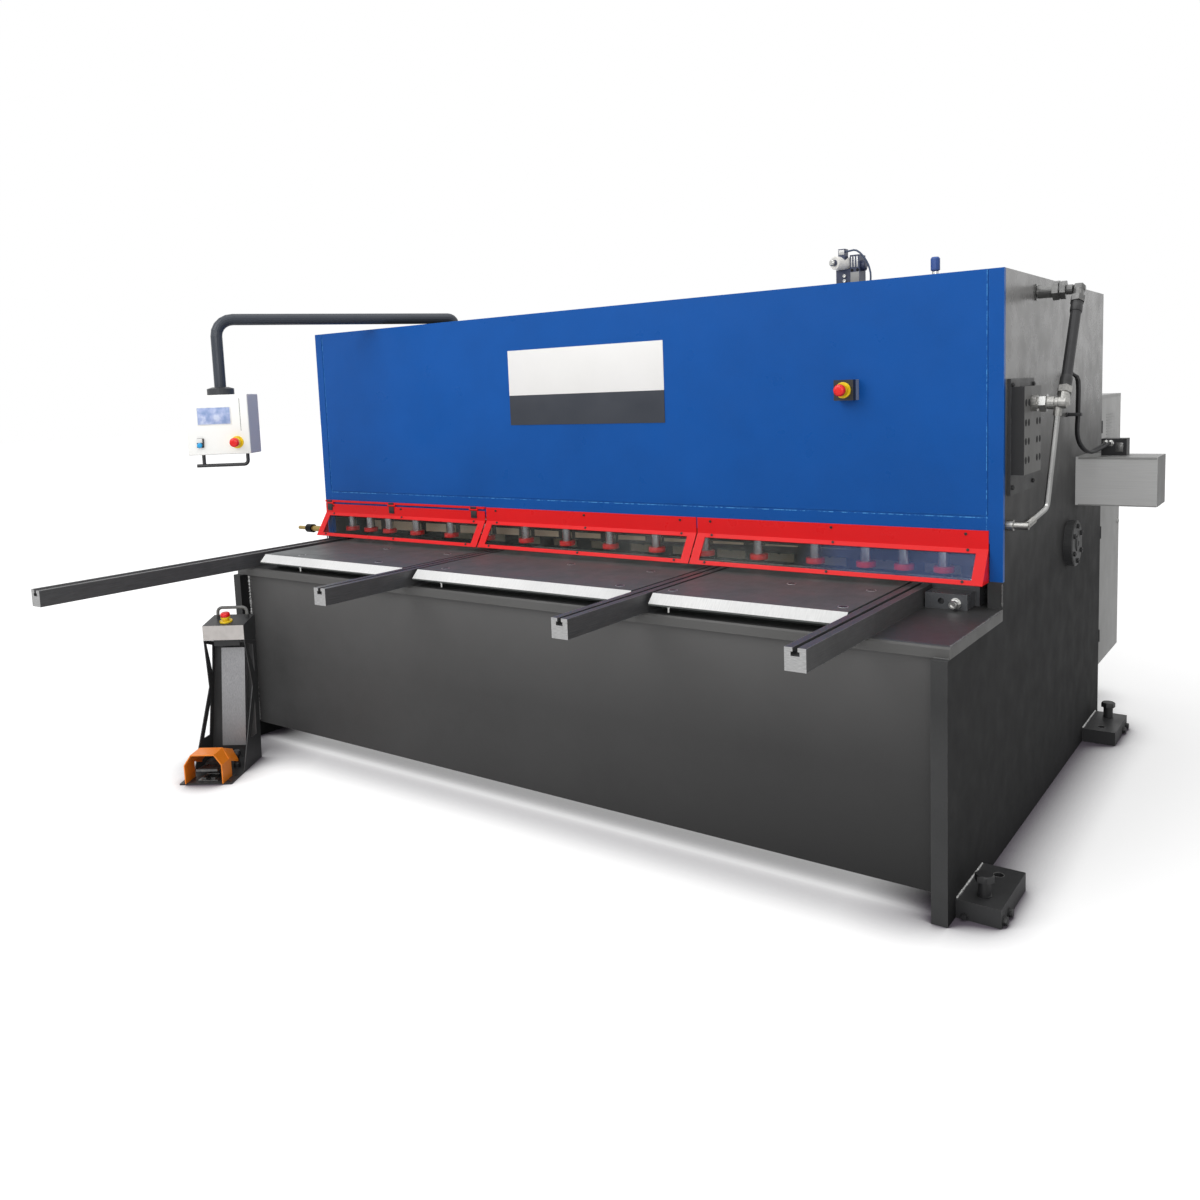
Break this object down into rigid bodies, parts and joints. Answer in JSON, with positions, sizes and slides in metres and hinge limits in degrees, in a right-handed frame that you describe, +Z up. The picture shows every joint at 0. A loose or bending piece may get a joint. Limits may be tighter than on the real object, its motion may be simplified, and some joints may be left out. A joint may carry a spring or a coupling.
{
  "type": "swing beam shear",
  "caption": "Hydraulic guillotine plate shear with a swinging blade beam, hold-downs, finger guard, support arms, swivelling pendant control and pedal stand.",
  "frame": {"origin": "on the floor, below the middle of the whole outline", "axes": "+X along the cutting line to the right as the operator sees it, +Y to the rear, +Z up"},
  "size_m": [4.2, 3.8822, 2.1941],
  "materials": {
    "dark_steel": "dark grey textured machine paint, satin",
    "blue_paint": "blue machine enamel, satin",
    "red_paint": "red safety enamel",
    "black_paint": "black enamel, semi matt",
    "grey_paint": "light grey powder coat",
    "cream_paint": "cream powder coat",
    "orange_paint": "orange enamel",
    "ground_steel": "ground and oiled steel",
    "blade_steel": "ground tool steel",
    "plunger_steel": "turned steel, red ring at the foot",
    "bright_steel": "bright folded steel",
    "chrome": "plated fittings",
    "brass": "yellow passivated screw",
    "hose_rubber": "black hose and cable",
    "clear_pane": "clear plastic window"
  },
  "bodies": {
    "machine": {"bed_beam": "dark_steel", "bed_ledge": "dark_steel", "end_block_right": "dark_steel", "foot_front_left": "dark_steel", "foot_front_right": "dark_steel", "foot_rear_left": "dark_steel", "foot_rear_right": "dark_steel", "front_apron": "dark_steel", "front_plate": "blue_paint", "front_stop": "black_paint", "gap_adjuster": "brass", "guard_centre": "red_paint", "guard_hinge_strip": "black_paint", "guard_pane_centre": "clear_pane", "guard_pane_right": "clear_pane", "guard_right": "red_paint", "hold_down_rail": "dark_steel", "low_fitting": "chrome", "lower_blade": "blade_steel", "manifold_block": "black_paint", "manifold_plate": "dark_steel", "pedal_hood": "orange_paint", "pendant_foot": "dark_steel", "pivot_flange_left": "dark_steel", "pivot_flange_right": "dark_steel", "port_pipe": "black_paint", "pressure_hose": "hose_rubber", "rear_cabinet": "grey_paint", "rear_plate": "dark_steel", "return_pipe": "chrome", "side_box": "grey_paint", "side_cable_1": "hose_rubber", "side_cable_2": "hose_rubber", "side_plate_left": "dark_steel", "side_plate_right": "dark_steel", "squaring_arm": "ground_steel", "stand_column": "bright_steel", "stand_frame": "dark_steel", "stand_head": "dark_steel", "support_arm_1": "ground_steel", "support_arm_2": "ground_steel", "support_arm_3": "ground_steel", "table_plate_1": "ground_steel", "table_plate_2": "ground_steel", "table_plate_3": "ground_steel", "tee_fitting": "chrome", "top_breather": "black_paint", "top_plate": "dark_steel", "top_valve_block": "dark_steel", "valve_cable": "hose_rubber"},
    "beam": {"swing_beam": "dark_steel", "upper_blade": "blade_steel"},
    "hold_downs": {"hold_down_plungers": "plunger_steel"},
    "guard_flap": {"guard_left": "red_paint", "guard_pane_left": "clear_pane"},
    "pendant_arm_body": {"pendant_arm": "dark_steel"},
    "pendant_box_body": {"pendant_box": "cream_paint", "pendant_handle": "black_paint"},
    "pedal_body": {"foot_pedal": "black_paint"}
  },
  "joints": [
    {"name": "beam_swing", "type": "hinge", "parent": "machine", "child": "beam", "pos_m": [-0.017, 0.71585, 0.98], "axis": [1, 0, 0], "range_deg": [0, 6.2]},
    {"name": "hold_down_travel", "type": "slide", "parent": "machine", "child": "hold_downs", "axis": [0, 0, 1], "range_m": [-0.024, 0]},
    {"name": "guard_flap_hinge", "type": "hinge", "parent": "machine", "child": "guard_flap", "pos_m": [-1.217, -0.31915, 1.1515], "axis": [-1, 0, 0], "range_deg": [0, 80]},
    {"name": "pendant_arm_swing", "type": "hinge", "parent": "machine", "child": "pendant_arm_body", "pos_m": [-1.137, 0.06685, 2.117], "axis": [0, 0, 1], "range_deg": [-60, 70]},
    {"name": "pendant_box_turn", "type": "hinge", "parent": "pendant_arm_body", "child": "pendant_box_body", "pos_m": [-1.707, -0.98715, 1.755], "axis": [0, 0, 1], "range_deg": [-90, 90]},
    {"name": "pedal_press", "type": "hinge", "parent": "machine", "child": "pedal_body", "pos_m": [-1.45446, -1.33834, 0.046], "axis": [0.8406, 0.5417, 0], "range_deg": [0, 12], "stiffness_Nm_per_rad": 6, "springref_deg": -8.59}
  ]
}
